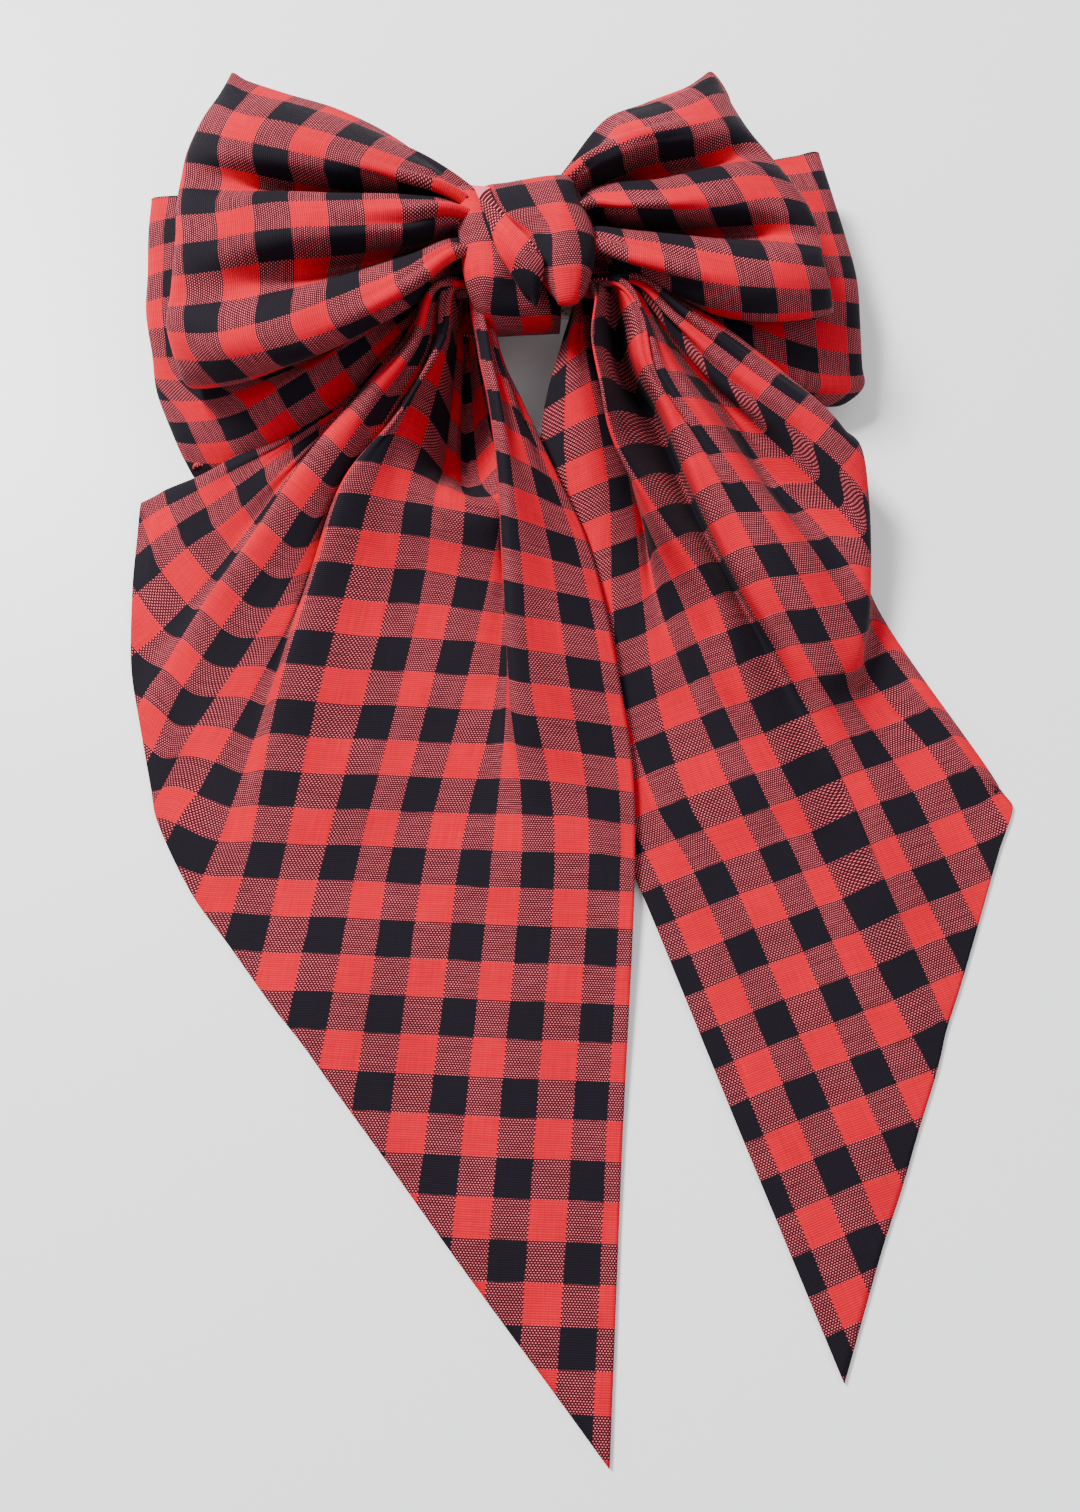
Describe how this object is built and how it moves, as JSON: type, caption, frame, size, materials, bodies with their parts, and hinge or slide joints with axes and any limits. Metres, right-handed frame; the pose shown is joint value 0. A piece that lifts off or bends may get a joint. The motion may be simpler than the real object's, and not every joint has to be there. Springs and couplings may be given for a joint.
{
  "type": "hair bow",
  "caption": "Large gingham hair bow with looped bands, long slanted tails, a wrapped knot and a French barrette on its back.",
  "frame": {"origin": "middle of the clasp arm's outer face, the face that lies against the head, midway along the barrette", "axes": "+X along the barrette towards its catch, +Y towards the top of the bow with the tails running to -Y, +Z out of the front of the bow"},
  "size_m": [0.2553, 0.375, 0.0491],
  "materials": {
    "gingham": "woven cotton gingham in red and near-black checks, matt",
    "thread": "polyester sewing thread",
    "glue": "set hot-melt glue",
    "steel": "nickel-plated spring steel"
  },
  "bodies": {
    "root": {"front_band": "gingham", "rear_band": "gingham", "tail_waist": "gingham", "knot_band": "gingham", "knot_overlap": "gingham", "front_thread": "thread", "rear_thread": "thread", "tail_thread": "thread", "glue_pad": "glue", "base_bar": "steel", "hinge_pin": "steel", "catch_plate": "steel", "catch_rivet": "steel", "tension_bar": "steel"},
    "arm": {"clasp_arm": "steel"},
    "prong_upper": {"catch_prong_upper": "steel"},
    "prong_lower": {"catch_prong_lower": "steel"},
    "tails": {"tail_left": "gingham", "tail_right": "gingham"}
  },
  "joints": [
    {"name": "arm_hinge", "type": "hinge", "parent": "root", "child": "arm", "pos_m": [-0.037, 0, -0.0016], "axis": [0, 1, 0], "range_deg": [0, 65]},
    {"name": "prong_upper_squeeze", "type": "hinge", "parent": "root", "child": "prong_upper", "pos_m": [0.036, 0.0013, 0.0044], "axis": [-1, 0, 0], "range_deg": [0, 5], "stiffness_Nm_per_rad": 0.03},
    {"name": "prong_lower_squeeze", "type": "hinge", "parent": "root", "child": "prong_lower", "pos_m": [0.036, -0.0013, 0.0044], "axis": [1, 0, 0], "range_deg": [0, 5], "stiffness_Nm_per_rad": 0.03},
    {"name": "tails_lift", "type": "hinge", "parent": "root", "child": "tails", "pos_m": [0, -0.021, 0.024], "axis": [-1, 0, 0], "range_deg": [0, 50]}
  ],
  "couplings": [
    {"joint": "prong_lower_squeeze", "follows": "prong_upper_squeeze", "ratio": 1}
  ]
}
